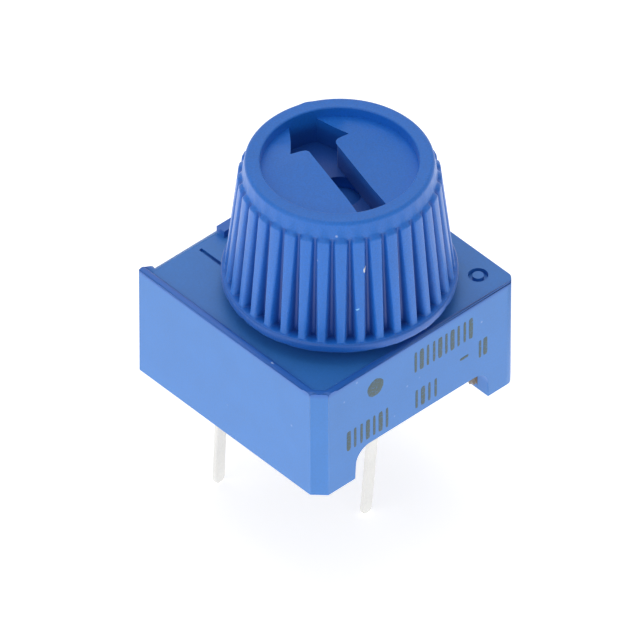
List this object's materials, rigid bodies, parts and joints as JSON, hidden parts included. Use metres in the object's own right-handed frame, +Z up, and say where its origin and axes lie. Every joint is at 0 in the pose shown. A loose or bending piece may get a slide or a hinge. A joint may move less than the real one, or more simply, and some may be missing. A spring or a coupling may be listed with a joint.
{
  "type": "trimmer potentiometer",
  "caption": "Small square single-turn trimmer potentiometer with a fluted finger knob, an arrow-shaped driver slot and flat board terminals.",
  "frame": {"origin": "middle of the terminal pattern on the board it stands on, in the plane of the housing's feet", "axes": "+Z up along the rotor axis, -Y towards the front wall with the opening at its foot, the middle terminal at the front"},
  "size_m": [0.0096, 0.0092, 0.0155],
  "materials": {
    "blue_plastic": "satin",
    "knob_plastic": "satin",
    "rotor_plastic": "satin",
    "seal_rubber": "matte",
    "spring_metal": "satin",
    "alumina": "matte",
    "cermet": "satin",
    "film_metal": "matte",
    "tin": "matte",
    "solder_metal": "satin",
    "resin": "gloss"
  },
  "bodies": {
    "base": {"housing": "blue_plastic", "ceramic_plate": "alumina", "resistive_track": "cermet", "collector_film": "film_metal", "end_film_1": "film_metal", "end_film_3": "film_metal", "terminal_1": "tin", "terminal_2": "tin", "terminal_3": "tin", "solder_1": "solder_metal", "solder_2": "solder_metal", "solder_3": "solder_metal", "potting": "resin"},
    "rotor_group": {"knob": "knob_plastic", "rotor": "rotor_plastic", "seal_ring": "seal_rubber", "wiper": "spring_metal"}
  },
  "joints": [
    {"name": "wiper_turn", "type": "hinge", "parent": "base", "child": "rotor_group", "pos_m": [0, -0.00072, 0.0037], "axis": [0, 0, 1], "range_deg": [-125.5, 154.5]}
  ]
}
